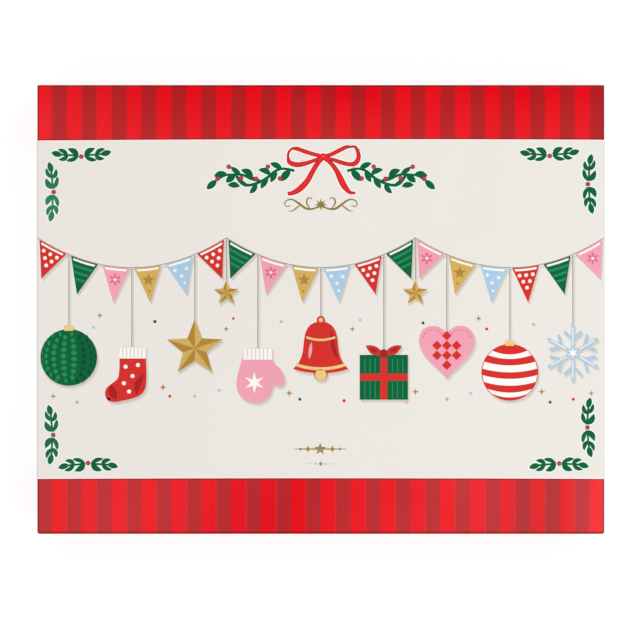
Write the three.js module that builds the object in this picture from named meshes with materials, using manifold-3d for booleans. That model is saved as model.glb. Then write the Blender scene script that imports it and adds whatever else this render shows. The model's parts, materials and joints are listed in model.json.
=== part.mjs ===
// A gift box of wrapped greyboard, with a lift-off lid, inside a card sleeve that slides off along it.
// It lies on its back: millimetres, +Z up, +X to the right of the front, +Y towards its upper edge.
// The origin is the middle of the sleeve's back panel, which is the lowest face.
import * as THREE from "three";
import { mergeVertices } from "three/addons/utils/BufferGeometryUtils.js";
import Module from "manifold-3d";

// Box: the front is a whole number of stripes wide, less what turns over the rounded edges.
const stripePitch = 10;
const stripeCount = 38;
const edgeTurn = 0.2;
const boxWidth = stripePitch * stripeCount - 2 * edgeTurn;
const boxHeight = 300.8;
const boxDepth = 35;
const board = 1.6;
const wrapRadius = 0.6; // paper drawn round the edges of the board
const cornerRadii = { upper: 0.7, lower: 1.3 };
const lidFit = 0.4; // between the lid's walls and the tray's, on each side
const rimGap = 0.05; // between the tray's rim and the lid's ceiling
const trayShows = 1; // of the tray, below the lid's edge
const stripeFilm = 0.08; // the dark stripes, printed over the bright ground
const centreBand = 3; // where the two halves of the stripes meet, under the sleeve

// Sleeve: a band of card glued along one back edge, cut with slightly bowed borders.
const sleeveLength = 226.7;
const card = 0.25;
const sleeveGap = 0.1;
const foldRadius = 0.5;
const flapWidth = 18;
const seamSetback = 1.2; // from the fold to the edge of the back panel
const borderBow = { upper: 0.6, lower: 0.5 };
const borderTilt = 0.26; // the upper border is cut this much higher at its right end
const borderSteps = 14;

// Print on the sleeve's front.
const inkDepth = 0.1;
const threadWidth = 0.45;
const leafSegments = 6; // along each side of a leaf
const threadSteps = 16; // along each swag of thread
const motifSize = 1.15; // the hung things, against the size they are drawn at

// Levels
const trayLow = 2 * card + sleeveGap;
const lidHigh = trayLow + boxDepth;
const lidLow = trayLow + trayShows;
const sleeveHigh = lidHigh + sleeveGap + card;
const halfSleeve = boxWidth / 2 + sleeveGap + card;

const wasm = await Module();
wasm.setup();
const { Manifold } = wasm;

const threadReach = halfSleeve - foldRadius; // the thread runs to the folds
const garland = {
  anchorX: [-threadReach, -threadReach / 3, threadReach / 3, threadReach],
  anchorY: 48,
  sag: 20,
  pennantWidth: 18,
  pennantDrop: 24,
  pennantSwing: 0.7, // of a pennant's turn with its thread, the share that its tip follows
  pennantsPerSwag: 6,
};

const colours = {
  brightRed: 0xe5202a,
  darkRed: 0xb62e30,
  cream: 0xebe7df,
  leafGreen: 0x0c6e46,
  ribbonRed: 0xeb282d,
  foilGold: 0xa5964f,
  deepGreen: 0x00693e,
  paperRed: 0xd63329,
  pink: 0xf3a4b4,
  paleBlue: 0xa9cbe4,
  tan: 0xd6b260,
  thread: 0x9a8f86,
};

const root = new THREE.Group();

// Solids and meshes

function toSolid(geometry) {
  const bare = geometry.clone();
  bare.deleteAttribute("normal");
  bare.deleteAttribute("uv");
  const merged = mergeVertices(bare, 1e-5);
  const triVerts = new Uint32Array(merged.index.array);
  const vertProperties = new Float32Array(merged.attributes.position.array);
  return new Manifold(new wasm.Mesh({ numProp: 3, vertProperties, triVerts }));
}

function toGeometry(solid) {
  const mesh = solid.getMesh();
  const geometry = new THREE.BufferGeometry();
  geometry.setAttribute("position", new THREE.BufferAttribute(mesh.vertProperties, 3));
  geometry.setIndex(new THREE.BufferAttribute(mesh.triVerts, 1));
  geometry.computeVertexNormals();
  return geometry;
}

function piece(name, solid, color, { roughness, metalness = 0 }) {
  const material = new THREE.MeshStandardMaterial({ color, roughness, metalness });
  const mesh = new THREE.Mesh(toGeometry(solid), material);
  mesh.name = name;
  root.add(mesh);
  return mesh;
}

// Rings of equal count, each counter-clockwise from above and listed from low to high.
function loft(rings) {
  const count = rings[0].length;
  const points = rings.flat();
  const faces = [];
  for (let r = 0; r < rings.length - 1; r += 1) {
    for (let i = 0; i < count; i += 1) {
      const a = r * count + i;
      const b = r * count + ((i + 1) % count);
      faces.push(a, b, b + count, a, b + count, a + count);
    }
  }
  const lowCentre = points.length;
  const highCentre = lowCentre + 1;
  const lastRing = (rings.length - 1) * count;
  points.push(new THREE.Vector3(0, 0, rings[0][0].z));
  points.push(new THREE.Vector3(0, 0, rings[rings.length - 1][0].z));
  for (let i = 0; i < count; i += 1) {
    const next = (i + 1) % count;
    faces.push(lowCentre, next, i);
    faces.push(highCentre, lastRing + i, lastRing + next);
  }
  const geometry = new THREE.BufferGeometry().setFromPoints(points);
  geometry.setIndex(faces);
  return geometry;
}

// The outline of the box from the front, drawn in by an inset.
function outline({ width, height, corners, inset, z }) {
  const steps = 3;
  const turns = [
    { sx: 1, sy: -1, from: -90, radius: corners.lower },
    { sx: 1, sy: 1, from: 0, radius: corners.upper },
    { sx: -1, sy: 1, from: 90, radius: corners.upper },
    { sx: -1, sy: -1, from: 180, radius: corners.lower },
  ];
  const points = [];
  for (const { sx, sy, from, radius } of turns) {
    const x = sx * (width / 2 - radius);
    const y = sy * (height / 2 - radius);
    for (let i = 0; i <= steps; i += 1) {
      const angle = THREE.MathUtils.degToRad(from + (90 * i) / steps);
      const reach = radius - inset;
      points.push(new THREE.Vector3(x + reach * Math.cos(angle), y + reach * Math.sin(angle), z));
    }
  }
  return points;
}

// A block with rounded upright corners and, where asked, rounded lower or upper edges.
function softBlock({ width, height, low, high, corners, lowEdge = 0, highEdge = 0 }) {
  const steps = 2;
  const rings = [];
  const ring = (inset, z) => rings.push(outline({ width, height, corners, inset, z }));
  for (let i = 0; i <= (lowEdge ? steps : 0); i += 1) {
    const angle = lowEdge ? (Math.PI / 2) * (i / steps) : Math.PI / 2;
    ring(lowEdge * (1 - Math.sin(angle)), low + lowEdge * (1 - Math.cos(angle)) * Math.sign(lowEdge));
  }
  for (let i = highEdge ? steps : 0; i >= 0; i -= 1) {
    const angle = highEdge ? (Math.PI / 2) * (i / steps) : Math.PI / 2;
    ring(highEdge * (1 - Math.sin(angle)), high - highEdge * (1 - Math.cos(angle)));
  }
  return toSolid(loft(rings));
}

function slab(x0, x1, y0, y1, z0, z1) {
  const geometry = new THREE.BoxGeometry(x1 - x0, y1 - y0, z1 - z0);
  geometry.translate((x0 + x1) / 2, (y0 + y1) / 2, (z0 + z1) / 2);
  return toSolid(geometry);
}

// Base tray

const trayWidth = boxWidth - 2 * (board + lidFit);
const trayHeight = boxHeight - 2 * (board + lidFit);
const trayHigh = lidHigh - board - rimGap;
const squareCorners = { upper: 0.7, lower: 0.7 };

function baseTray() {
  const block = softBlock({
    width: trayWidth,
    height: trayHeight,
    low: trayLow,
    high: trayHigh,
    corners: squareCorners,
    lowEdge: wrapRadius,
  });
  const halfX = trayWidth / 2 - board;
  const halfY = trayHeight / 2 - board;
  return block.subtract(slab(-halfX, halfX, -halfY, halfY, trayLow + board, trayHigh + 1));
}

// Lid

const lidBlock = {
  width: boxWidth,
  height: boxHeight,
  high: lidHigh,
  corners: cornerRadii,
  highEdge: wrapRadius,
};

function lid() {
  const halfX = boxWidth / 2 - board;
  const halfY = boxHeight / 2 - board;
  const cavity = slab(-halfX, halfX, -halfY, halfY, lidLow - 1, lidHigh - board);
  return softBlock({ ...lidBlock, low: lidLow }).subtract(cavity);
}

// The dark stripes are one film over the lid's face and walls. The upper half starts bright at the
// left and the lower half starts dark. On the side walls the stripes carry on at the same pitch.
function darkStripes() {
  const grown = softBlock({
    width: boxWidth + 2 * stripeFilm,
    height: boxHeight + 2 * stripeFilm,
    low: lidLow,
    high: lidHigh + stripeFilm,
    corners: { upper: cornerRadii.upper + stripeFilm, lower: cornerRadii.lower + stripeFilm },
    highEdge: wrapRadius + stripeFilm,
  });
  const film = grown.subtract(softBlock({ ...lidBlock, low: lidLow - 1 }));
  const halfX = boxWidth / 2;
  const firstX = (-stripePitch * stripeCount) / 2;
  const farY = boxHeight;
  const lowZ = lidLow - 1;
  const highZ = lidHigh + 1;
  const dark = [slab(-boxWidth, boxWidth, -centreBand / 2, centreBand / 2, lowZ, highZ)];
  for (const half of [1, -1]) {
    const y0 = half > 0 ? 0 : -farY;
    const firstDark = half > 0 ? 1 : 0;
    for (let i = firstDark; i < stripeCount; i += 2) {
      const x = firstX + i * stripePitch;
      dark.push(slab(x, x + stripePitch, y0, y0 + farY, lowZ, highZ));
    }
    for (const side of [-1, 1]) {
      const edgeIsDark = (half > 0) === (side > 0);
      const x0 = side > 0 ? halfX : -halfX - 1;
      for (let j = edgeIsDark ? 1 : 0; j * stripePitch < boxDepth; j += 2) {
        const top = lidHigh - j * stripePitch;
        dark.push(slab(x0, x0 + 1, y0, y0 + farY, top - stripePitch, top));
      }
    }
  }
  return film.intersect(Manifold.union(dark));
}

// Sleeve

function alongX(x0, x1, z) {
  const at = (i) => new THREE.Vector2(x0 + ((x1 - x0) * i) / borderSteps, z);
  return Array.from({ length: borderSteps + 1 }, (_, i) => at(i));
}

function arc(x, z, radius, fromDegrees) {
  const steps = 4;
  return Array.from({ length: steps + 1 }, (_, i) => {
    const angle = THREE.MathUtils.degToRad(fromDegrees + (90 * i) / steps);
    return new THREE.Vector2(x + radius * Math.cos(angle), z + radius * Math.sin(angle));
  });
}

function sleeve() {
  const inX = halfSleeve - foldRadius;
  const panelEnd = halfSleeve - seamSetback;
  const section = new THREE.Shape([
    ...alongX(-inX, panelEnd, 0),
    new THREE.Vector2(panelEnd, card),
    ...arc(inX, card + foldRadius, foldRadius, -90),
    ...arc(inX, sleeveHigh - foldRadius, foldRadius, 0),
    ...alongX(inX, -inX, sleeveHigh).slice(1, -1),
    ...arc(-inX, sleeveHigh - foldRadius, foldRadius, 90),
    ...arc(-inX, foldRadius, foldRadius, 180).slice(0, -1),
  ]);
  const innerX = halfSleeve - card;
  const innerHigh = sleeveHigh - card;
  const flapEdge = halfSleeve - flapWidth;
  section.holes.push(
    new THREE.Path([
      ...alongX(-innerX, flapEdge, card),
      new THREE.Vector2(flapEdge, 2 * card),
      new THREE.Vector2(innerX, 2 * card),
      new THREE.Vector2(innerX, innerHigh),
      ...alongX(innerX, -innerX, innerHigh).slice(1),
    ]),
  );
  const geometry = new THREE.ExtrudeGeometry(section, { depth: sleeveLength, bevelEnabled: false });
  geometry.rotateX(Math.PI / 2);
  geometry.translate(0, sleeveLength / 2, 0);
  const position = geometry.attributes.position;
  for (let i = 0; i < position.count; i += 1) {
    const across = position.getX(i) / halfSleeve;
    const upper = position.getY(i) > 0;
    const bow = upper ? borderBow.upper : borderBow.lower;
    const tilt = upper ? borderTilt * across : 0;
    position.setY(i, position.getY(i) + bow * (1 - across * across) + tilt);
  }
  return toSolid(geometry);
}

// Flat printed shapes, drawn in their own X and Y and one ink layer deep

function plate(shape, curveSegments = 8) {
  return toSolid(new THREE.ExtrudeGeometry(shape, { depth: inkDepth, bevelEnabled: false, curveSegments }));
}

function counterClockwise(points) {
  return THREE.ShapeUtils.isClockWise(points) ? points.reverse() : points;
}

// A leaf from its base to its tip: each side bulges by its own amount, left and right of that line.
function leaf([x0, y0, x1, y1, left, right]) {
  const dx = x1 - x0;
  const dy = y1 - y0;
  const length = Math.hypot(dx, dy);
  const control = (along, bulge) => {
    const out = bulge / 0.75;
    return [x0 + dx * along - (dy / length) * out, y0 + dy * along + (dx / length) * out];
  };
  const shape = new THREE.Shape();
  shape.moveTo(x0, y0);
  shape.bezierCurveTo(...control(0.3, -right), ...control(0.7, -right), x1, y1);
  shape.bezierCurveTo(...control(0.7, left), ...control(0.3, left), x0, y0);
  return plate(shape, leafSegments);
}

// A stroke through points of x, y and width.
function stroke(points, steps = 2 * points.length) {
  const marks = points.map(([x, y, width]) => new THREE.Vector3(x, y, width));
  const curve = new THREE.CatmullRomCurve3(marks, false, "centripetal");
  const left = [];
  const right = [];
  for (let i = 0; i <= steps; i += 1) {
    const point = curve.getPoint(i / steps);
    const tangent = curve.getTangent(i / steps);
    const side = new THREE.Vector2(-tangent.y, tangent.x).setLength(Math.max(point.z, 0.1) / 2);
    left.push(new THREE.Vector2(point.x + side.x, point.y + side.y));
    right.push(new THREE.Vector2(point.x - side.x, point.y - side.y));
  }
  return plate(new THREE.Shape(counterClockwise([...left, ...right.reverse()])));
}

function disc(x, y, radius, steps = 24) {
  const points = [];
  for (let i = 0; i < steps; i += 1) {
    const angle = (2 * Math.PI * i) / steps;
    points.push(new THREE.Vector2(x + radius * Math.cos(angle), y + radius * Math.sin(angle)));
  }
  return plate(new THREE.Shape(points));
}

function star(points, outer, inner, x = 0, y = 0) {
  const corners = [];
  for (let i = 0; i < 2 * points; i += 1) {
    const angle = Math.PI / 2 + (Math.PI * i) / points;
    const radius = i % 2 ? inner : outer;
    corners.push(new THREE.Vector2(x + radius * Math.cos(angle), y + radius * Math.sin(angle)));
  }
  return plate(new THREE.Shape(corners));
}

function flipLeaf([x0, y0, x1, y1, left, right]) {
  return [-x0, y0, -x1, y1, right, left];
}

function flipStroke(points) {
  return points.map(([x, y, width]) => [-x, y, width]);
}

function foliage(leaves, stems, flipped) {
  const stemLines = flipped ? stems.map(flipStroke) : stems;
  const leafLines = flipped ? leaves.map(flipLeaf) : leaves;
  return Manifold.union([...stemLines.map((line) => stroke(line)), ...leafLines.map(leaf)]);
}

function printed(name, solid, color, x, y, look = {}) {
  const { degrees = 0, size = 1, roughness = 0.75, metalness = 0 } = look;
  const mesh = piece(name, solid, color, { roughness, metalness });
  mesh.geometry.scale(size, size, 1);
  mesh.position.set(x, y, sleeveHigh);
  mesh.rotation.z = THREE.MathUtils.degToRad(degrees);
  return mesh;
}

// One spray of a corner sprig: two pairs of leaves and a tip leaf on a thin stem, pointing to +X or -X.
function spray(flipped) {
  const leaves = [
    [2.3, -0.5, 8.8, 5.6, 3.1, 0.3],
    [2.3, 0.2, 10.1, -2.2, 0.5, 1.8],
    [9.1, 1.2, 15.6, 5.3, 2.1, 0.1],
    [8.8, 1.5, 15.2, -1.3, 0.1, 2.3],
    [12.9, 1.6, 19.7, 3.5, 1.6, 1.8],
  ];
  const stem = [[2.8, 0.4, 1.1], [6.2, 1.2, 0.75], [9.4, 1.4, 0.9], [13.2, 1.9, 0.8]];
  return foliage(leaves, [stem], flipped);
}

// Leafy swag: the stem runs from its inner end at the origin out to -X, or to +X where it is flipped.
function leafySwag(flipped) {
  const leaves = [
    [-8.2, 1.2, -15.9, 5.1, 1.2, 2.2],
    [-15.7, -2.7, -23.7, 0.8, 0.6, 2.8],
    [-11.9, 0, -15.6, -7.5, 1.7, 1.7],
    [-17.6, -4.9, -22.1, -11.6, 1.4, 1.9],
    [-25, -8.6, -29.6, -14.9, 2.1, 1],
    [-27.8, -4.9, -35.4, 0.6, 0.5, 3.4],
    [-35.7, -2.7, -42.4, 2.5, 1.4, 1.5],
    [-39.4, -2.9, -45.5, -7.5, 1.7, 2.2],
    [-44.6, -2.6, -53.5, -3.5, 1.3, 2.8],
    [-52, -6.3, -58.4, -12.1, 2, 1.9],
    [-2.5, 0.6, -8.8, -6.8, 1.9, 2.5],
  ];
  const mainStem = [
    [0, 0, 1.4], [-3.7, 1, 1.2], [-8.2, 1.4, 1.1], [-12.3, 0, 1.3], [-15.6, -2.5, 1.4],
    [-18.9, -5.3, 1.5], [-23, -7.4, 1.5], [-26.3, -8.8, 1.5], [-30, -9.6, 1.4],
    [-32.4, -9.4, 1.9], [-34.9, -7.8, 2.5], [-37.3, -5.3, 1.9], [-39.2, -2.9, 0.9],
  ];
  const upperStem = [
    [-22.2, -6.9, 0.7], [-25.4, -5.9, 2], [-29.1, -4.7, 2.3], [-32.4, -3.5, 1.4], [-35.7, -2.5, 1.1],
    [-39.4, -2.5, 1.1], [-44.7, -2.7, 1], [-47.6, -3.5, 0.9], [-49.9, -5.1, 0.8], [-52.6, -6.8, 0.8],
  ];
  return foliage(leaves, [mainStem, upperStem], flipped);
}

// Ribbon bow round its knot.
function ribbonBow() {
  const limbs = [
    [[-0.5, 0.2, 1.4], [-7.4, 1.9, 1.5], [-12.7, 3.6, 1.6], [-18.1, 5.4, 1.4],
      [-21, 5.2, 0.4], [-23.1, 2.9, 0.4], [-23.6, -0.4, 0.4]],
    [[-23.6, 0.2, 0.4], [-22.6, -3.7, 1.8], [-17.4, -5.4, 2.2],
      [-11.7, -4.5, 1.8], [-7.4, -3.1, 1.3], [-0.8, -0.6, 1.1]],
    [[0.8, 0.2, 1.4], [5.6, 1.6, 1.5], [10.6, 4.1, 1.6], [15.6, 6.4, 1.3],
      [18.4, 6.6, 0.4], [21.2, 6.6, 0.6], [23.2, 3.8, 1.4]],
    [[23, 4.4, 1.3], [23.7, -0.6, 1.8], [21.4, -4.4, 2.1], [17.4, -5.1, 1.6],
      [12.4, -4, 1.6], [7, -2.2, 1.3], [1, -0.8, 1.1]],
    [[-0.4, -0.9, 1.9], [-3.8, -4.5, 2], [-7.4, -10.4, 2.2], [-10.2, -15.6, 2.5],
      [-13.5, -19.6, 2.8], [-17.4, -22.8, 2.5], [-20.8, -24.4, 1.7], [-23.3, -24.7, 1.4]],
    [[0.6, -0.8, 1.5], [5.2, -4.5, 1.7], [8.8, -9.2, 2.1], [11, -13.6, 2.8],
      [12.9, -17.6, 3.1], [15.3, -21.4, 2.4], [18.1, -24, 1.2], [21.2, -24.3, 0.4]],
  ];
  const ribbons = limbs.map((points) => stroke(points, 3 * points.length - 3));
  return Manifold.union([disc(0, -0.2, 1.9, 14), ...ribbons]);
}

// Gold scrollwork: a star between two curling strokes.
function goldScroll() {
  const half = [
    [[0, 0, 0.5], [5, -2.8, 1.1], [10, -2.6, 1.5], [14.5, 0.6, 1.4], [19, 3.4, 1],
      [23, 2.8, 0.8], [24.3, 0.2, 0.7], [22.3, -1.4, 0.6], [20.4, -0.2, 0.5]],
    [[7, -2.8, 0.4], [9.4, 0.6, 1], [9.2, 3.6, 0.9], [7.2, 4.6, 0.7], [5.8, 3.4, 0.4]],
    [[13.5, -0.2, 0.4], [16.4, -2.2, 1], [19, -4.2, 0.7], [21.6, -4.2, 0.3]],
  ];
  return Manifold.union([star(8, 4.2, 1.7), ...[...half, ...half.map(flipStroke)].map((s) => stroke(s))]);
}

// Gold rule: a star with a tapered line, a lozenge and a dot on each side.
function goldRule() {
  const lines = [-1, 1].map((side) => stroke([[0, 0, 1], [8 * side, 0, 0.7], [17.6 * side, 0, 0.35]], 4));
  const lozenges = [-1, 1].map((side) => star(4, 2.3, 1.1, 8.2 * side, 0));
  const dots = [-1, 1].map((side) => disc(13.2 * side, 0, 0.9, 10));
  return Manifold.union([star(5, 4.2, 1.8), ...lines, ...lozenges, ...dots]);
}

// Hung thread and its pennants: each swag of thread is a parabola between two anchors.

function threadY(x) {
  const swag = garland.anchorX.findIndex((end, i) => x <= end && i > 0);
  const from = garland.anchorX[swag - 1];
  const to = garland.anchorX[swag];
  const along = (x - from) / (to - from);
  return garland.anchorY - 4 * garland.sag * along * (1 - along);
}

function pennant(x) {
  const { pennantWidth, pennantDrop, pennantSwing } = garland;
  const slope = (threadY(x + 1) - threadY(x - 1)) / 2;
  const length = Math.hypot(1, slope);
  const below = threadWidth / 2 + 0.1;
  const points = [];
  for (let i = 4; i >= 0; i -= 1) {
    const edgeX = x + pennantWidth * (i / 4 - 0.5);
    points.push(new THREE.Vector2(edgeX, threadY(edgeX) - below * length));
  }
  const tipX = x + (pennantSwing * pennantDrop * slope) / length;
  points.push(new THREE.Vector2(tipX, threadY(x) - pennantDrop / length));
  return plate(new THREE.Shape(points));
}

// Outlines of the things that hang from the thread, each round its own middle

function ballShape() {
  const cap = slab(-2.6, 2.6, 15, 18.6, 0, inkDepth);
  return disc(0, 0, 16.5, 36).add(cap);
}

function stockingShape() {
  const shape = new THREE.Shape();
  shape.moveTo(-7, 16.5);
  shape.bezierCurveTo(-7.4, 9, -6.6, 3, -8, -1.5);
  shape.bezierCurveTo(-9.6, -4.6, -15.4, -5.6, -15.6, -10.4);
  shape.bezierCurveTo(-15.6, -15, -11.4, -16.2, -7.4, -15.2);
  shape.bezierCurveTo(-2.4, -14, 2.8, -13.6, 6.2, -10.4);
  shape.bezierCurveTo(9.8, -6.8, 8.2, 2, 8, 16.5);
  return plate(shape);
}

function mittenShape() {
  const shape = new THREE.Shape();
  shape.moveTo(-8, 16.5);
  shape.bezierCurveTo(-8.6, 9, -12.6, 2, -12.4, -5);
  shape.bezierCurveTo(-12, -17, 6.6, -19.6, 8.6, -6.4);
  shape.bezierCurveTo(9.4, -2.6, 11, -6.6, 13.8, -5.4);
  shape.bezierCurveTo(17.4, -3.6, 15.2, 4.2, 10.4, 7);
  shape.bezierCurveTo(8.4, 8.4, 8, 12, 8, 16.5);
  return plate(shape);
}

function bellShape() {
  const shape = new THREE.Shape();
  shape.moveTo(-1.6, 16.4);
  shape.bezierCurveTo(-9.6, 15, -9.4, 8, -10.2, 1);
  shape.bezierCurveTo(-10.8, -5, -13, -8, -16, -11);
  shape.bezierCurveTo(-8, -14.4, 8, -14.4, 16, -11);
  shape.bezierCurveTo(13, -8, 10.8, -5, 10.2, 1);
  shape.bezierCurveTo(9.4, 8, 9.6, 15, 1.6, 16.4);
  return Manifold.union([plate(shape), disc(0, -14, 4, 20), disc(0, 17.4, 2.4, 16)]);
}

function parcelShape() {
  const loop = [0, 10.6, 10.4, 16.4, 2.4, 2.6];
  const loops = [loop, flipLeaf(loop)].map(leaf);
  return Manifold.union([slab(-14, 14, -15, 11, 0, inkDepth), ...loops, disc(0, 12, 2.4, 12)]);
}

function heartShape() {
  const shape = new THREE.Shape();
  shape.moveTo(0, 10.4);
  shape.bezierCurveTo(-4, 17.4, -16.4, 16.6, -16.2, 6);
  shape.bezierCurveTo(-16, -3.6, -5, -9, 0, -15.6);
  shape.bezierCurveTo(5, -9, 16, -3.6, 16.2, 6);
  shape.bezierCurveTo(16.4, 16.6, 4, 17.4, 0, 10.4);
  return plate(shape);
}

function snowflakeShape() {
  const arm = [[0, 0, 0, 16.6, 1.8], [0, 7.6, 5, 12.6, 1.5], [0, 7.6, -5, 12.6, 1.5]];
  const bars = [];
  for (let turn = 0; turn < 6; turn += 1) {
    const [cos, sin] = [Math.cos((turn * Math.PI) / 3), Math.sin((turn * Math.PI) / 3)];
    for (const [x0, y0, x1, y1, width] of arm) {
      const ends = [[x0, y0], [x1, y1]].map(([x, y]) => [x * cos - y * sin, x * sin + y * cos, width]);
      bars.push(stroke(ends, 1));
    }
  }
  return Manifold.union([...bars, disc(0, 0, 3, 12)]);
}

const swagPitch = (garland.anchorX[1] - garland.anchorX[0]) / garland.pennantsPerSwag;
// Each hung thing: its place along the thread, the height of its middle, and how far its top is above that.
const hangings = [
  { name: "green_ball", make: ballShape, color: colours.deepGreen, slot: 1, y: -32, top: 18.6 },
  { name: "red_stocking", make: stockingShape, color: colours.paperRed, slot: 3, y: -44, top: 16.5 },
  { name: "gold_star", make: () => star(5, 17, 7.2), color: colours.tan, slot: 5, y: -26, top: 17 },
  { name: "small_star_left", make: () => star(5, 7.5, 3.3), color: colours.tan, slot: 6, y: 11, top: 7.5 },
  { name: "pink_mitten", make: mittenShape, color: colours.pink, slot: 7, y: -45, top: 16.5 },
  { name: "red_bell", make: bellShape, color: colours.paperRed, slot: 9, y: -27, top: 19.8 },
  { name: "green_parcel", make: parcelShape, color: colours.deepGreen, slot: 11, y: -43, top: 14.4 },
  { name: "small_star_right", make: () => star(5, 7.5, 3.3), color: colours.tan, slot: 12, y: 11, top: 7.5 },
  { name: "pink_heart", make: heartShape, color: colours.pink, slot: 13, y: -28, top: 10.4 },
  { name: "red_ball", make: ballShape, color: colours.paperRed, slot: 15, y: -42, top: 18.6 },
  { name: "blue_snowflake", make: snowflakeShape, color: colours.paleBlue, slot: 17, y: -29, top: 16.6 },
];

function hungThread() {
  const runs = [];
  for (let swag = 1; swag < garland.anchorX.length; swag += 1) {
    const points = [];
    const from = garland.anchorX[swag - 1];
    for (let i = 0; i <= threadSteps; i += 1) {
      const x = from + ((garland.anchorX[swag] - from) * i) / threadSteps;
      points.push([x, threadY(x), threadWidth]);
    }
    runs.push(stroke(points, threadSteps));
  }
  for (const { slot, y, top } of hangings) {
    const x = garland.anchorX[0] + slot * swagPitch;
    const lowY = y + top * motifSize + 0.1;
    runs.push(slab(x - threadWidth / 2, x + threadWidth / 2, lowY, threadY(x), 0, inkDepth));
  }
  return Manifold.union(runs);
}

// Assembly

piece("base_tray", baseTray(), colours.brightRed, { roughness: 0.5 });
piece("lid", lid(), colours.brightRed, { roughness: 0.45 });
piece("dark_stripes", darkStripes(), colours.darkRed, { roughness: 0.45 });
piece("sleeve", sleeve(), colours.cream, { roughness: 0.8 });

// Corner sprigs: two at each corner, with their backs outward.
const sprigs = [
  { name: "sprig_top_left", x: -160.1, y: 102.2, degrees: 0 },
  { name: "sprig_left_upper", x: -178.4, y: 78.8, degrees: 90 },
  { name: "sprig_top_right", x: 153.1, y: 102.7, degrees: 0 },
  { name: "sprig_right_upper", x: 178.4, y: 84, degrees: -90 },
  { name: "sprig_left_lower", x: -178.8, y: -83.7, degrees: 90 },
  { name: "sprig_bottom_left", x: -155.7, y: -102.4, degrees: 180 },
  { name: "sprig_right_lower", x: 177.5, y: -78.9, degrees: -90 },
  { name: "sprig_bottom_right", x: 159.3, y: -102.3, degrees: 180 },
];
const sprayTilt = 2; // the left spray of each sprig lies a little lower
for (const { name, x, y, degrees } of sprigs) {
  printed(`${name}_a`, spray(false), colours.leafGreen, x, y, { degrees });
  printed(`${name}_b`, spray(true), colours.leafGreen, x, y, { degrees: degrees + sprayTilt });
}

const swagEnd = { x: 17.8, y: 92.8 };
printed("leafy_swag_left", leafySwag(false), colours.leafGreen, -swagEnd.x, swagEnd.y);
printed("leafy_swag_right", leafySwag(true), colours.leafGreen, swagEnd.x, swagEnd.y);
printed("ribbon_bow", ribbonBow(), colours.ribbonRed, 1.6, 102.3);
printed("gold_scroll", goldScroll(), colours.foilGold, 0.1, 70.2, { roughness: 0.35, metalness: 1 });
printed("gold_rule", goldRule(), colours.foilGold, -0.4, -93.3, { roughness: 0.35, metalness: 1 });

printed("garland_thread", hungThread(), colours.thread, 0, 0);
const pennantColours = [colours.paperRed, colours.deepGreen, colours.pink, colours.tan, colours.paleBlue];
const pennantCount = garland.pennantsPerSwag * (garland.anchorX.length - 1);
for (let i = 0; i < pennantCount; i += 1) {
  const x = garland.anchorX[0] + (i + 0.5) * swagPitch;
  printed(`pennant_${i + 1}`, pennant(x), pennantColours[i % pennantColours.length], 0, 0);
}
for (const { name, make, color, slot, y } of hangings) {
  printed(name, make(), color, garland.anchorX[0] + slot * swagPitch, y, { size: motifSize });
}

export default root;
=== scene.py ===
import json
import math

import bmesh
import bpy
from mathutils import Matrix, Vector


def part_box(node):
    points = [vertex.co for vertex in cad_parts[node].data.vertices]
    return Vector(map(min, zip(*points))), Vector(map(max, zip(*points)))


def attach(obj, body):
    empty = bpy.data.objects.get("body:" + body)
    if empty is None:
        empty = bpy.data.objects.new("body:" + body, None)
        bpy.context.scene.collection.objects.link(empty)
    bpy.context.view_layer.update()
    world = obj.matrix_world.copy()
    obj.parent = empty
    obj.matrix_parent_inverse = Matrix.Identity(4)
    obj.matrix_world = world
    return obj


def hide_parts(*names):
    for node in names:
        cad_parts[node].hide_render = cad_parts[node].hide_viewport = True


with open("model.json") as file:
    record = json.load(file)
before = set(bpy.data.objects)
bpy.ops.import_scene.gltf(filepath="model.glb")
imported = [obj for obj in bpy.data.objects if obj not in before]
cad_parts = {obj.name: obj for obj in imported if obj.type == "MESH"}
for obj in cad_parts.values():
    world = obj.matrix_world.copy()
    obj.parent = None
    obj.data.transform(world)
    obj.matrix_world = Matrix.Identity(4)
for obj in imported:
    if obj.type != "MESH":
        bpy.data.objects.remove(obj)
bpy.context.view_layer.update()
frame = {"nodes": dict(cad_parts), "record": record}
mm = 0.001
scene = bpy.context.scene

lidLow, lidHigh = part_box("lid")
trayLow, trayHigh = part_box("base_tray")
sleeveLow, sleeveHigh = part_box("sleeve")
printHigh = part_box("ribbon_bow")[1].z  # top of the first layer of print
stripeStep = 10 * mm
board = 1.6 * mm

sleeveLook = {
    "card": 0.25 * mm,
    "foldRadius": 0.45 * mm,
    "foldSteps": 4,
    "flap": 18 * mm,
    "flapGap": 0.02 * mm,
    "setback": 1.2 * mm,
    "halfLength": -sleeveLow.y,
    "upperBow": 0.6 * mm,  # how far each border bows towards the upper edge
    "lowerBow": 0.5 * mm,
    "upperTilt": 0.26 * mm,
    "stepsAcross": 30,
    "stepsAlong": 12,
    "longEdge": 100 * mm,  # only edges longer than this are cut into steps
}

# Camera, lights and floor

view = {
    "pixels": 640,
    "mmPerPixel": 0.669,
    "boxMiddle": (320.8, 309.55),  # the middle of the box, in the photo's pixels
    "lens": 90,
    "sensor": 36,
    "clip": (0.05, 20),
}


def aimCamera():
    step = view["mmPerPixel"] * mm
    middle = view["pixels"] / 2
    x = (middle - view["boxMiddle"][0]) * step
    y = (view["boxMiddle"][1] - middle) * step
    distance = view["pixels"] * step * view["lens"] / view["sensor"]
    bpy.ops.object.camera_add(location=(x, y, sleeveHigh.z + distance), rotation=(0, 0, 0))
    camera = bpy.context.object
    camera.data.lens = view["lens"]
    camera.data.sensor_width = view["sensor"]
    camera.data.clip_start, camera.data.clip_end = view["clip"]
    scene.camera = camera


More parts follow.
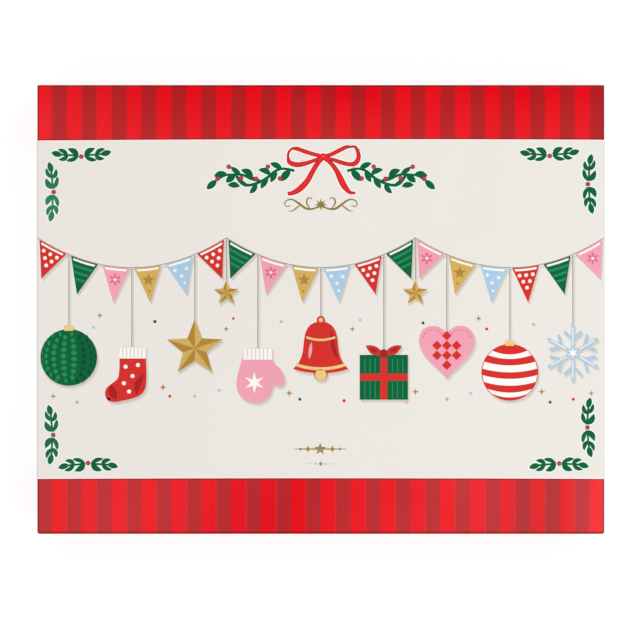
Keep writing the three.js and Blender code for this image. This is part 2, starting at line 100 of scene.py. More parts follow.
softboxes = [
    {"name": "keyLight", "at": (1.35, 1.0, 1.45), "size": 1.4, "watts": 22.2, "colour": (0.985, 0.99, 1.0)},
    {"name": "fillLight", "at": (-1.2, 1.1, 1.4), "size": 1.5, "watts": 15.9, "colour": (1.0, 0.98, 0.945)},
    {"name": "lowerLight", "at": (1.05, -1.1, 1.3), "size": 1.1, "watts": 15.3, "colour": (0.985, 0.99, 1.0)},
    {"name": "lowerLeft", "at": (-1.2, -1.1, 1.35), "size": 1.1, "watts": 9.5, "colour": (1.0, 0.985, 0.96)},
    {"name": "sheenRight", "at": (0.45, -0.36, 1.7), "size": 0.4, "watts": 1.7, "colour": (1.0, 1.0, 1.0)},
    {"name": "sheenLeft", "at": (-0.45, -0.3, 1.7), "size": 0.4, "watts": 0.95, "colour": (1.0, 1.0, 1.0)},
]
room = {"colour": (1.0, 1.0, 1.0, 1.0), "strength": 0.116}
floorLook = {"span": 30, "grey": 0.23, "glow": 0.83, "roughness": 0.9, "gloss": 0.1}


def placeLights():
    for box in softboxes:
        bpy.ops.object.light_add(type="AREA", location=box["at"])
        light = bpy.context.object
        light.name = box["name"]
        light.data.size = box["size"]
        light.data.energy = box["watts"]
        light.data.color = box["colour"]
        light.rotation_euler = (-Vector(box["at"])).to_track_quat("-Z", "Y").to_euler()
    world = bpy.data.worlds.new("paleRoom")
    world.use_nodes = True
    world.node_tree.nodes["Background"].inputs["Color"].default_value = room["colour"]
    world.node_tree.nodes["Background"].inputs["Strength"].default_value = room["strength"]
    scene.world = world
    scene.view_settings.view_transform = "Standard"


def layFloor():
    bpy.ops.mesh.primitive_plane_add(size=floorLook["span"], location=(0, 0, 0))
    floor = bpy.context.object
    floor.name = "floor"
    paint = bpy.data.materials.new("floorPaint")
    paint.use_nodes = True
    shader = paint.node_tree.nodes["Principled BSDF"]
    shader.inputs["Base Color"].default_value = (floorLook["grey"],) * 3 + (1,)
    shader.inputs["Roughness"].default_value = floorLook["roughness"]
    shader.inputs["Specular IOR Level"].default_value = floorLook["gloss"]
    shader.inputs["Emission Color"].default_value = (1, 1, 1, 1)
    shader.inputs["Emission Strength"].default_value = floorLook["glow"]
    floor.data.materials.append(paint)


aimCamera()
placeLights()
layFloor()
print("camera, lights and floor are in")

# Node helpers


def addNode(tree, kind, inputs=None, **settings):
    made = tree.nodes.new(kind)
    for key, value in settings.items():
        setattr(made, key, value)
    for key, value in (inputs or {}).items():
        if isinstance(value, bpy.types.NodeSocket):
            tree.links.new(value, made.inputs[key])
        else:
            made.inputs[key].default_value = value
    return made


def calc(tree, operation, first, second=0.0, clamp=False):
    made = addNode(tree, "ShaderNodeMath", {0: first, 1: second}, operation=operation, use_clamp=clamp)
    return made.outputs[0]


def blendColours(tree, amount, first, second, mode="MIX"):
    made = addNode(tree, "ShaderNodeMix", {0: amount, 6: first, 7: second}, data_type="RGBA", blend_type=mode)
    return made.outputs[2]


def blendValues(tree, amount, first, second):
    return addNode(tree, "ShaderNodeMix", {0: amount, 2: first, 3: second}, data_type="FLOAT").outputs[0]


def ramp(tree, value, low, high, newLow=0.0, newHigh=1.0):
    inputs = {"Value": value, "From Min": low, "From Max": high, "To Min": newLow, "To Max": newHigh}
    return addNode(tree, "ShaderNodeMapRange", inputs).outputs["Result"]


def splitAxes(tree, source):
    return addNode(tree, "ShaderNodeSeparateXYZ", {0: source}).outputs


def srgb(red, green, blue):
    def linear(level):
        share = level / 255
        return share / 12.92 if share <= 0.04045 else ((share + 0.055) / 1.055) ** 2.4

    return (linear(red), linear(green), linear(blue), 1.0)


def shade(colour, factor):
    return tuple(min(1.0, part * factor) for part in colour[:3]) + (1.0,)


# Shared effects


def newGroup(name, inputs, outputs):
    # inputs have a name and a kind of socket, and every output is a plain number
    group = bpy.data.node_groups.new(name, "ShaderNodeTree")
    for label, kind in inputs.items():
        group.interface.new_socket(name=label, in_out="INPUT", socket_type="NodeSocket" + kind)
    for label in outputs:
        group.interface.new_socket(name=label, in_out="OUTPUT", socket_type="NodeSocketFloat")
    return group, addNode(group, "NodeGroupInput"), addNode(group, "NodeGroupOutput")


def groupOn(tree, group, label, source):
    made = addNode(tree, "ShaderNodeGroup")
    made.node_tree = group
    tree.links.new(source, made.inputs[label])
    return made


grainLook = {
    "fibreShare": 0.55,  # of the tone, and the rest is clouds
    "fibreDetail": 5.0,
    "cloudScale": 13.0,
    "cloudDetail": 2.0,
    "toothRatio": 2.3,  # of the tooth's scale to the fibres'
    "toneRange": (0.3, 0.7),  # nearly all of the tone lies in it
}
turnLook = {"flat": 0.995, "turned": 0.8}  # the largest part of a normal, off and on an edge, for the painted edge shade


def buildPaperGrain():
    look = grainLook
    inputs = {"Vector": "Vector", "Fibre Scale": "Float"}
    group, given, result = newGroup("paperGrain", inputs, ["Tone", "Height", "Clouds"])

    def noise(scale, **settings):
        settings.update(Vector=given.outputs["Vector"], Scale=scale)
        return addNode(group, "ShaderNodeTexNoise", settings).outputs[0]

    fibreScale = given.outputs["Fibre Scale"]
    fibres = noise(fibreScale, Detail=look["fibreDetail"])
    clouds = noise(look["cloudScale"], Detail=look["cloudDetail"])
    tooth = noise(calc(group, "MULTIPLY", fibreScale, look["toothRatio"]))
    fine = calc(group, "MULTIPLY", fibres, look["fibreShare"])
    tone = calc(group, "ADD", fine, calc(group, "MULTIPLY", clouds, 1 - look["fibreShare"]))
    group.links.new(tone, result.inputs["Tone"])
    group.links.new(tooth, result.inputs["Height"])
    group.links.new(clouds, result.inputs["Clouds"])
    return group


def buildTurnedEdgeShade():
    # a mask of how far the surface turns at an edge, for painted shade
    group, given, result = newGroup("edgeTurn", {"Normal": "Vector"}, ["Mask"])
    bare = addNode(group, "ShaderNodeVectorMath", {0: given.outputs["Normal"]}, operation="ABSOLUTE")
    x, y, z = splitAxes(group, bare.outputs[0])
    widest = calc(group, "MAXIMUM", calc(group, "MAXIMUM", x, y), z)
    group.links.new(ramp(group, widest, turnLook["flat"], turnLook["turned"]), result.inputs["Mask"])
    return group


def buildSleeveBorder():
    # how far a point lies from the sleeve's bowed border, less than nothing inside it
    group, given, result = newGroup("sleeveBorder", {"Vector": "Vector"}, ["Distance"])
    x, y = splitAxes(group, given.outputs["Vector"])[:2]
    across = calc(group, "DIVIDE", x, sleeveHigh.x)
    arch = calc(group, "SUBTRACT", 1.0, calc(group, "MULTIPLY", across, across))
    upper = calc(group, "GREATER_THAN", y, 0.0)
    bow = ramp(group, upper, 0.0, 1.0, sleeveLook["lowerBow"], sleeveLook["upperBow"])
    tilt = calc(group, "MULTIPLY", calc(group, "MULTIPLY", across, upper), sleeveLook["upperTilt"])
    straight = calc(group, "SUBTRACT", y, calc(group, "ADD", calc(group, "MULTIPLY", arch, bow), tilt))
    distance = calc(group, "SUBTRACT", calc(group, "ABSOLUTE", straight), sleeveLook["halfLength"])
    group.links.new(distance, result.inputs["Distance"])
    return group


paperGrain = buildPaperGrain()
edgeTurn = buildTurnedEdgeShade()
sleeveBorder = buildSleeveBorder()

# Materials

wrapLook = {
    "bright": srgb(229, 1, 19),
    "dark": srgb(177, 24, 29),
    # the lower half's dark stripes, lighter by a painted sheen
    "lowerDarkSheened": srgb(182, 33, 40),
    "lining": srgb(226, 224, 219),
    "liningFrom": 0.7 * board,  # inwards of the walls
    "turnIn": 16 * mm,  # of the wrap, over the rim and down the inside
    "grain": 650.0,
    "mottle": 0.05,
    "roughness": (0.3, 0.39),
    "gloss": 0.1,
    "tooth": (0.12, 0.05 * mm),  # strength and depth
    "wallLine": 0.3 * mm,  # inwards of the walls, where the stripes turn down
    "countFrom": 10.5,  # pairs of stripes, so that none is counted below nothing
    "blur": 0.6 * mm,  # soft line between two stripes
    "trap": 0.4 * mm,  # overprint that shows as a thin line
    "trapPaleShare": 0.25,
    "centreBand": 3 * mm,
    "lineShade": 0.35,  # of the dark stripe's colour, for the two painted shade lines below
    "edgeShadeLine": (0.8 * mm, 1.35 * mm),  # painted shade, a darker line along the edges, full and gone
    "edgeShadeShare": 0.7,
    "sleeveShadowLine": (0.4 * mm, 1.1 * mm),  # painted shadow along the sleeve's border
    "sleeveShadowShare": 0.6,
    "shadedPatchAt": 148 * mm,  # painted shade, a darker patch of the lower half
    "shadedPatchReach": (14 * mm, 36 * mm),
    "shadedPatchShare": 0.13,
    "sheenTint": (0.15, 0.044, 0.042),  # what the fullest painted sheen adds to the print's colour
}
# painted sheen on the striped wrap, by place
sheenLook = {
    "upper": (-0.02, 0.27),  # along the upper edge, and at the sleeve
    "upperLeft": (-80 * mm, 0.18),  # where it starts to grow towards the side, and by how much
    "lowerMiddle": -15 * mm,
    "lowerReach": (5 * mm, 120 * mm),
    "lower": (0.08, 0.4),  # in the middle of the lower half, and at its ends
    "lowerRight": (160 * mm, 0.36),
    "cloudRange": (0.35, 0.65),
    "clouds": 0.04,
}
cardLook = {
    "cream": srgb(235, 231, 225),
    "core": srgb(255, 236, 231),
    "grain": 900.0,
    "mottle": 0.018,
    "roughness": (0.8, 0.9),
    "gloss": 0.2,
    "tooth": (0.2, 0.05 * mm),
    "cutFacing": (0.7, 0.9),  # how squarely a cut edge looks along the box
    "borderHighlight": (-1.3 * mm, -0.5 * mm),  # the paler line along it, a painted highlight in the core's colour
    "borderHighlightShare": 0.8,
    "foldLine": 1.5 * mm,
    # scuffs and painted shade along the folds, most at the left one
    "leftScuffAndShade": 0.8,
    "rightScuffAndShade": 0.2,
    "scuffAndShadePatches": (0.35, 0.6, 0.6, 1.0),  # range of the tone, and the shares that it gives
    "scuffAndShadeFactor": 0.84,
}
inkSurface = {  # of every ink that doesn't say otherwise
    "grain": 1100.0,
    "mottle": 0.07,
    "roughness": (0.57, 0.67),
    "gloss": 0.12,
    "tooth": (0.15, 0.04 * mm),
    "metal": 0.0,
    "sheenPatched": False,
}
inkLooks = {
    "leaf_ink": {"colour": (0, 97, 56), "sheenPatched": True},
    "ribbon_ink": {"colour": (236, 38, 39)},
    "gold_foil": {"colour": (190, 168, 88), "metal": 0.85, "roughness": (0.29, 0.39)},
    "thread_ink": {"colour": (146, 136, 126)},
    "red_ink": {"colour": (214, 46, 40)},
    "green_ink": {"colour": (0, 98, 56)},
    "pink_ink": {"colour": (240, 162, 180)},
    "tan_ink": {"colour": (212, 174, 94)},
    "blue_ink": {"colour": (170, 203, 228)},
}
# painted sheen on the leaf inks, in round patches
sheenPatchLook = {
    "colour": srgb(90, 165, 130),
    "core": 0.3,  # of the reach, where a patch is palest
    "patches": [((-179, 62), 44, 0.34), ((-180, -84), 30, 0.1)],  # middle and reach in millimetres, share
}
extraInks = {  # each with the slot that it belongs to
    "berryInk": ("ribbon_ink", (198, 64, 64)),
    "berryRimInk": ("ribbon_ink", (158, 40, 48)),
    "leafRimInk": ("leaf_ink", (0, 68, 38)),
    "leafFringeInk": ("cream_card", (234, 251, 240)),
    "bowFringeInk": ("cream_card", (255, 236, 229)),
    "ribbonRimInk": ("ribbon_ink", (140, 8, 18)),
    "knotInk": ("ribbon_ink", (246, 140, 130)),
    "shadowInk": ("cream_card", (206, 199, 189)),
    "softShadowInk": ("cream_card", (222, 217, 208)),
    "deepGreenInk": ("green_ink", (0, 76, 46)),
    "whiteInk": ("cream_card", (249, 247, 243)),
    "lightGreenInk": ("green_ink", (32, 138, 88)),
    "darkGoldInk": ("tan_ink", (176, 136, 56)),
    "lightGoldInk": ("tan_ink", (234, 204, 132)),
    "deepRedInk": ("red_ink", (168, 30, 34)),
    "deepPinkInk": ("pink_ink", (222, 112, 142)),
    "greyInk": ("thread_ink", (138, 136, 134)),
}


def newMaterial(name, look):
    made = bpy.data.materials.new(name)
    made.use_nodes = True
    tree = made.node_tree
    places = addNode(tree, "ShaderNodeTexCoord")
    grain = groupOn(tree, paperGrain, "Vector", places.outputs["Object"])
    grain.inputs["Fibre Scale"].default_value = look["grain"]
    return made, tree, places, grain


def finishMaterial(tree, grain, colour, look):
    # the grain shows in the colour and in the roughness, and its tooth in the bump
    shader = tree.nodes["Principled BSDF"]

    def grained(low, high):
        return ramp(tree, grain.outputs["Tone"], *grainLook["toneRange"], low, high)

    tone = grained(1 - look["mottle"], 1 + look["mottle"])
    tree.links.new(blendColours(tree, 1.0, colour, tone, "MULTIPLY"), shader.inputs["Base Color"])
    tree.links.new(grained(*look["roughness"]), shader.inputs["Roughness"])
    shader.inputs["Specular IOR Level"].default_value = look["gloss"]
    shader.inputs["Metallic"].default_value = look.get("metal", 0.0)
    strength, depth = look["tooth"]
    tooth = {"Height": grain.outputs["Height"], "Strength": strength, "Distance": depth}
    bump = addNode(tree, "ShaderNodeBump", tooth)
    tree.links.new(bump.outputs["Normal"], shader.inputs["Normal"])


def stripeMasks(tree, places):
    # the dark stripes, and the thin line where a bright one of the lower half overlaps the next
    x, y, z = splitAxes(tree, places.outputs["Object"])
    side = calc(tree, "SIGN", x)
    onWall = calc(tree, "GREATER_THAN", calc(tree, "ABSOLUTE", x), lidHigh.x - wrapLook["wallLine"])
    drop = calc(tree, "MULTIPLY", calc(tree, "SUBTRACT", lidHigh.z, z), onWall)
    unfolded = calc(tree, "ADD", x, calc(tree, "MULTIPLY", drop, side))
    along = calc(tree, "DIVIDE", unfolded, 2 * stripeStep)
    lowerHalf = calc(tree, "LESS_THAN", y, 0.0)
    phase = calc(tree, "ADD", along, calc(tree, "MULTIPLY", lowerHalf, 0.5))
    saw = calc(tree, "FRACT", calc(tree, "ADD", phase, wrapLook["countFrom"]))
    # 0 in the middle of a bright stripe, 0.5 in the middle of a dark one
    wave = calc(tree, "ABSOLUTE", calc(tree, "SUBTRACT", saw, 0.25))
    wave = calc(tree, "MINIMUM", wave, calc(tree, "SUBTRACT", 1.0, wave))
    softness = wrapLook["blur"] / (2 * stripeStep)
    mask = ramp(tree, wave, 0.25 - softness, 0.25 + softness)
    band = calc(tree, "LESS_THAN", calc(tree, "ABSOLUTE", y), wrapLook["centreBand"] / 2)
    fromTrap = calc(tree, "ABSOLUTE", calc(tree, "SUBTRACT", saw, 0.5))
    trap = ramp(tree, fromTrap, 0.0, wrapLook["trap"] / stripeStep, 1.0, 0.0)
    return calc(tree, "MAXIMUM", mask, band), calc(tree, "MULTIPLY", trap, lowerHalf)


def paintedSheenMask(tree, places, clouds):
    # painted sheen: least along the upper edge, more towards the sleeve, most at the ends of the lower half
    look = sheenLook
    x, y = splitAxes(tree, places.outputs["Object"])[:2]
    upper = ramp(tree, y, lidHigh.y, sleeveHigh.y, *look["upper"])
    start, growth = look["upperLeft"]
    upper = calc(tree, "ADD", upper, ramp(tree, x, start, lidLow.x, 0.0, growth))
    fromMiddle = calc(tree, "ABSOLUTE", calc(tree, "SUBTRACT", x, look["lowerMiddle"]))
    lower = ramp(tree, fromMiddle, *look["lowerReach"], *look["lower"])
    start, growth = look["lowerRight"]
    lower = calc(tree, "ADD", lower, ramp(tree, x, start, lidHigh.x, 0.0, growth))
    amount = blendValues(tree, calc(tree, "GREATER_THAN", y, 0.0), lower, upper)
    clouded = ramp(tree, clouds, *look["cloudRange"], -look["clouds"], look["clouds"])
    return calc(tree, "ADD", amount, clouded, clamp=True)


def stripedColour(tree, places, grain):
    x, y = splitAxes(tree, places.outputs["Object"])[:2]
    lowerHalf = calc(tree, "LESS_THAN", y, 0.0)
    dark, trap = stripeMasks(tree, places)
    # the dark stripes, with a painted sheen in the lower half
    darkInk = blendColours(tree, lowerHalf, wrapLook["dark"], wrapLook["lowerDarkSheened"])
    colour = blendColours(tree, dark, wrapLook["bright"], darkInk)
    # painted shade: a darker patch of the lower half, where less sheen falls
    fromShadedPatch = calc(tree, "ABSOLUTE", calc(tree, "SUBTRACT", x, wrapLook["shadedPatchAt"]))
    shadedPatch = ramp(tree, fromShadedPatch, *wrapLook["shadedPatchReach"], wrapLook["shadedPatchShare"], 0.0)
    colour = blendColours(tree, calc(tree, "MULTIPLY", shadedPatch, lowerHalf), colour, (0, 0, 0, 1))
    # painted sheen added over the stripes, with the paler trap lines
    sheenAndTrap = paintedSheenMask(tree, places, grain.outputs["Clouds"])
    sheenAndTrap = calc(tree, "ADD", sheenAndTrap, calc(tree, "MULTIPLY", trap, wrapLook["trapPaleShare"]))
    return blendColours(tree, sheenAndTrap, colour, wrapLook["sheenTint"] + (1.0,), "ADD")


def makeWrap(name, low, high, openEnd, striped):
    # openEnd is -1 for a shell that is open below and 1 for one that is open above
    made, tree, places, grain = newMaterial(name, wrapLook)
    x, y, z = splitAxes(tree, places.outputs["Object"])
    fromTop = calc(tree, "SUBTRACT", high.z, z)
    fromBottom = calc(tree, "SUBTRACT", z, low.z)
    fromClosed, fromRim = (fromTop, fromBottom) if openEnd < 0 else (fromBottom, fromTop)
    fromSide = calc(tree, "SUBTRACT", high.x, calc(tree, "ABSOLUTE", x))
    fromEnd = calc(tree, "SUBTRACT", high.y, calc(tree, "ABSOLUTE", y))
    fromWall = calc(tree, "MINIMUM", fromSide, fromEnd)
    colour = stripedColour(tree, places, grain) if striped else wrapLook["bright"]
    shadeLineColour = shade(wrapLook["dark"], wrapLook["lineShade"])
    # painted shade: a darker line along the closed edges and wherever the surface turns
    edge = ramp(tree, calc(tree, "ADD", fromClosed, fromWall), *wrapLook["edgeShadeLine"], 1.0, 0.0)
    turn = groupOn(tree, edgeTurn, "Normal", places.outputs["Normal"])
    edge = calc(tree, "MAXIMUM", edge, turn.outputs["Mask"])
    colour = blendColours(tree, calc(tree, "MULTIPLY", edge, wrapLook["edgeShadeShare"]), colour, shadeLineColour)
    if striped:
        # painted shadow cast by the sleeve's border on the lid
        border = groupOn(tree, sleeveBorder, "Vector", places.outputs["Object"])
        away = calc(tree, "ABSOLUTE", border.outputs["Distance"])
        sleeveShadow = ramp(tree, away, *wrapLook["sleeveShadowLine"], wrapLook["sleeveShadowShare"], 0.0)
        colour = blendColours(tree, sleeveShadow, colour, shadeLineColour)
    fromOutside = calc(tree, "MINIMUM", fromWall, fromClosed)
    inside = calc(tree, "GREATER_THAN", fromOutside, wrapLook["liningFrom"])
    lined = calc(tree, "GREATER_THAN", fromRim, wrapLook["turnIn"])
    colour = blendColours(tree, calc(tree, "MULTIPLY", inside, lined), colour, wrapLook["lining"])
    finishMaterial(tree, grain, colour, wrapLook)
    return made


def makeCard():
    look = cardLook
    made, tree, places, grain = newMaterial("creamCard", look)
    alongBox = splitAxes(tree, places.outputs["Normal"])[1]
    cut = ramp(tree, calc(tree, "ABSOLUTE", alongBox), *look["cutFacing"])
    # a painted highlight along the cut border, in the colour of the card's core
    border = groupOn(tree, sleeveBorder, "Vector", places.outputs["Object"])
    nearCutHighlight = ramp(tree, border.outputs["Distance"], *look["borderHighlight"], 0.0, look["borderHighlightShare"])
    x = splitAxes(tree, places.outputs["Object"])[0]
    # scuffs and painted shade along the folds, most at the left one, in patches
    line = look["foldLine"]
    leftFold = ramp(tree, x, sleeveLow.x + line, sleeveLow.x + line / 2, 0.0, look["leftScuffAndShade"])
    rightFold = ramp(tree, x, sleeveHigh.x - line, sleeveHigh.x, 0.0, look["rightScuffAndShade"])
    patches = ramp(tree, grain.outputs["Tone"], *look["scuffAndShadePatches"])
    scuffAndShade = calc(tree, "MULTIPLY", calc(tree, "ADD", leftFold, rightFold), patches)
    colour = blendColours(tree, scuffAndShade, look["cream"], shade(look["cream"], look["scuffAndShadeFactor"]))
    colour = blendColours(tree, calc(tree, "MAXIMUM", cut, nearCutHighlight), colour, look["core"])
    finishMaterial(tree, grain, colour, look)
    return made


def sheenPatchedInk(tree, places, colour):
    # painted sheen: paler in round patches
    for (x, y), reach, share in sheenPatchLook["patches"]:
        fromMiddle = addNode(tree, "ShaderNodeVectorMath", operation="DISTANCE")
        tree.links.new(places.outputs["Object"], fromMiddle.inputs[0])
        fromMiddle.inputs[1].default_value = (x * mm, y * mm, sleeveHigh.z)
        ends = (sheenPatchLook["core"] * reach * mm, reach * mm)
        sheenShare = ramp(tree, fromMiddle.outputs["Value"], *ends, share, 0.0)
        colour = blendColours(tree, sheenShare, colour, sheenPatchLook["colour"])
    return colour


def makeInk(name, ownLook):
    look = {**inkSurface, **ownLook}
    made, tree, places, grain = newMaterial(name, look)
    colour = srgb(*look["colour"])
    if look["sheenPatched"]:
        colour = sheenPatchedInk(tree, places, colour)
    finishMaterial(tree, grain, colour, look)
    return made


stripedWrap = makeWrap("stripedWrap", lidLow, lidHigh, -1, True)
plainWrap = makeWrap("plainWrap", trayLow, trayHigh, 1, False)
creamCard = makeCard()
inks = {slotName: makeInk(slotName, look) for slotName, look in inkLooks.items()}
for inkName, (slotName, colour) in extraInks.items():
    inks[inkName] = makeInk(inkName, {"colour": colour, "sheenPatched": slotName == "leaf_ink"})
print("materials are made")

# Modelling helpers

facing = 0.9  # a face looks along an axis where its normal has this much of it
mergeReach = 0.001 * mm


def deselectAll():
    if bpy.context.mode != "OBJECT":
        bpy.ops.object.mode_set(mode="OBJECT")
    bpy.ops.object.select_all(action="DESELECT")


def makeActive(piece):
    deselectAll()
    piece.select_set(True)
    bpy.context.view_layer.objects.active = piece


def startEdit(piece, mode):
    makeActive(piece)
    bpy.ops.object.mode_set(mode="EDIT")
    bpy.ops.mesh.select_mode(type=mode)
    bpy.ops.mesh.select_all(action="DESELECT")


def selectAll():
    bpy.ops.mesh.select_all(action="SELECT")


def pick(piece, kind, test):
    bpy.ops.mesh.select_all(action="DESELECT")
    mesh = bmesh.from_edit_mesh(piece.data)
    for item in getattr(mesh, kind):
        if test(item):
            item.select_set(True)
    mesh.select_flush_mode()
    bmesh.update_edit_mesh(piece.data)


def mergeAll(reach=mergeReach):
    selectAll()
    bpy.ops.mesh.remove_doubles(threshold=reach)


def bothEnds(edge, test):
    return all(test(vertex.co) for vertex in edge.verts)


def near(first, second, reach=0.02 * mm):
    return abs(first - second) < reach


def applyAll(piece):
    makeActive(piece)
    bpy.ops.object.transform_apply(location=True, rotation=True, scale=True)
    for modifier in list(piece.modifiers):
        bpy.ops.object.modifier_apply(modifier=modifier.name)


def smoothEdges(piece, degrees=40):
    makeActive(piece)
    bpy.ops.object.shade_smooth_by_angle(angle=math.radians(degrees))
    piece.modifiers.new("evenShading", "WEIGHTED_NORMAL").keep_sharp = True
    applyAll(piece)


def newBlock(name, low, high):
    deselectAll()
    middle = (low + high) / 2
    bpy.ops.mesh.primitive_cube_add(size=1, location=middle, scale=high - low)
    block = bpy.context.object
    block.name = name
    block.data.name = name
    applyAll(block)
    return block


# Lid and tray: a block hollowed from its open end, with rounded corners and edges

shellLook = {
    "cornerSteps": 6,
    "edgeRadius": 0.6 * mm,
    "edgeSteps": 4,
    "rimRadius": 0.35 * mm,
    "rimSteps": 2,
    "lidCorners": (1.2 * mm, 2 * mm),  # upper and lower
    "trayCorners": (0.7 * mm, 0.7 * mm),
}


def makeShell(name, low, high, openEnd, corners):
    look = shellLook
    shell = newBlock(name, low, high)
    openZ = low.z if openEnd < 0 else high.z
    closedZ = high.z if openEnd < 0 else low.z
    startEdit(shell, "FACE")
    pick(shell, "faces", lambda face: face.normal.z * openEnd > facing)
    bpy.ops.mesh.inset(thickness=board, depth=0)
    depth = high.z - low.z - board
    bpy.ops.mesh.extrude_region_move(TRANSFORM_OT_translate={"value": (0, 0, -openEnd * depth)})
    bpy.ops.mesh.select_mode(type="EDGE")
    for radius, sign in zip(corners, (1, -1)):
        def atCorner(place):
            return near(abs(place.x), high.x) and near(place.y, sign * high.y)

        pick(shell, "edges", lambda edge: bothEnds(edge, atCorner))
        bpy.ops.mesh.bevel(offset=radius, segments=look["cornerSteps"], affect="EDGES")
    pick(shell, "edges", lambda edge: bothEnds(edge, lambda place: near(place.z, closedZ)))
    bpy.ops.mesh.bevel(offset=look["edgeRadius"], segments=look["edgeSteps"], affect="EDGES")

    def onRim(edge):
        levels = [abs(face.normal.z) for face in edge.link_faces]
        return bothEnds(edge, lambda place: near(place.z, openZ)) and min(levels) < 1 - facing

    pick(shell, "edges", onRim)
    bpy.ops.mesh.bevel(offset=look["rimRadius"], segments=look["rimSteps"], affect="EDGES")
    mergeAll()
    bpy.ops.mesh.normals_make_consistent(inside=False)
    smoothEdges(shell)
    return shell


wrappedLid = makeShell("wrappedLid", lidLow, lidHigh, -1, shellLook["lidCorners"])
wrappedLid.data.materials.append(stripedWrap)
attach(wrappedLid, "box")
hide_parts("lid", "dark_stripes")

wrappedTray = makeShell("wrappedTray", trayLow, trayHigh, 1, shellLook["trayCorners"])
wrappedTray.data.materials.append(plainWrap)
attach(wrappedTray, "box")
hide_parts("base_tray")
print("lid and tray are wrapped")

# Sleeve: one strip of card folded round the box, its back panel glued over a flap


def makeSleeve():
    look = sleeveLook
    card = look["card"]
    half = sleeveHigh.x - card / 2
    lowZ = sleeveLow.z + card / 2
    highZ = sleeveHigh.z - card / 2
    halfLength = look["halfLength"]
    strip = newBlock("cardSleeve", Vector((-half, -halfLength, lowZ)), Vector((half, halfLength, highZ)))
    startEdit(strip, "FACE")
    pick(strip, "faces", lambda face: abs(face.normal.y) > facing)
    bpy.ops.mesh.delete(type="FACE")
    pick(strip, "faces", lambda face: face.normal.z < -facing)
    seam = sleeveHigh.x - look["setback"]
    bpy.ops.mesh.bisect(plane_co=(seam, 0, 0), plane_no=(1, 0, 0))
    pick(strip, "faces", lambda face: face.normal.z < -facing and face.calc_center_median().x > seam)
    bpy.ops.mesh.delete(type="FACE")
    bpy.ops.mesh.select_mode(type="EDGE")
    pick(strip, "edges", lambda edge: bothEnds(edge, lambda at: near(at.x, half) and near(at.z, lowZ)))
    bpy.ops.transform.translate(value=(0, 0, card + look["flapGap"]))
    bpy.ops.mesh.extrude_region_move(TRANSFORM_OT_translate={"value": (-look["flap"], 0, 0)})

    def onFold(edge):
        return bothEnds(edge, lambda at: near(abs(at.x), half)) and len(edge.link_faces) == 2

    pick(strip, "edges", onFold)
    bpy.ops.mesh.bevel(offset=look["foldRadius"], segments=look["foldSteps"], affect="EDGES")
    for axis, steps in ((0, look["stepsAcross"]), (1, look["stepsAlong"])):
        def isLong(edge):
            return abs(edge.verts[0].co[axis] - edge.verts[1].co[axis]) > look["longEdge"]

        pick(strip, "edges", isLong)
        bpy.ops.mesh.subdivide(number_cuts=steps)
    selectAll()
    bpy.ops.mesh.normals_make_consistent(inside=False)
    bpy.ops.object.mode_set(mode="OBJECT")
    for vertex in strip.data.vertices:
        across = vertex.co.x / half
        if vertex.co.y > 0:
            shift = look["upperBow"] * (1 - across ** 2) + look["upperTilt"] * across
        else:
            shift = look["lowerBow"] * (1 - across ** 2)
        vertex.co.y += shift * abs(vertex.co.y) / halfLength
    solid = strip.modifiers.new("cardThickness", "SOLIDIFY")
    solid.thickness = card
    solid.offset = 0
    solid.use_even_offset = True
    applyAll(strip)
    smoothEdges(strip)
    return strip


cardSleeve = makeSleeve()
cardSleeve.data.materials.append(creamCard)
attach(cardSleeve, "sleeve")
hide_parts("sleeve")
print("sleeve is folded")

# First layer of print: the frame's own flat shapes, each in its ink

printed = {}
for row in frame["record"]["subparts"]:
    slotName = row["material_slot"]
    node = frame["nodes"][row["node"]]
    if slotName in inkLooks:
        node.data.materials.clear()
        node.data.materials.append(inks[slotName])
        printed.setdefault(slotName, []).append(row["node"])

# Under it, a darker rim and a pale fringe round the leaves and the ribbon, and a soft shadow under
# the picture

underLook = {
    "sprigRim": 0.36 * mm,
    "swagRim": 0.36 * mm,
    "ribbonRim": 0.76 * mm,
    "rimTop": 0.06 * mm,
    "fringe": 1.25 * mm,
    "ribbonFringe": 1.8 * mm,
    "fringeTop": 0.03 * mm,
    "shadowShift": (0.8 * mm, -1.3 * mm),
    "softShift": (1.2 * mm, -1.9 * mm),
    "softReach": 0.6 * mm,
    "shadowTop": 0.04 * mm,
    "softTop": 0.02 * mm,
    "topFacing": 0.7,
}


def finishPrint(piece, ink):
    piece.data.materials.clear()
    piece.data.materials.append(inks[ink])
    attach(piece, "sleeve")


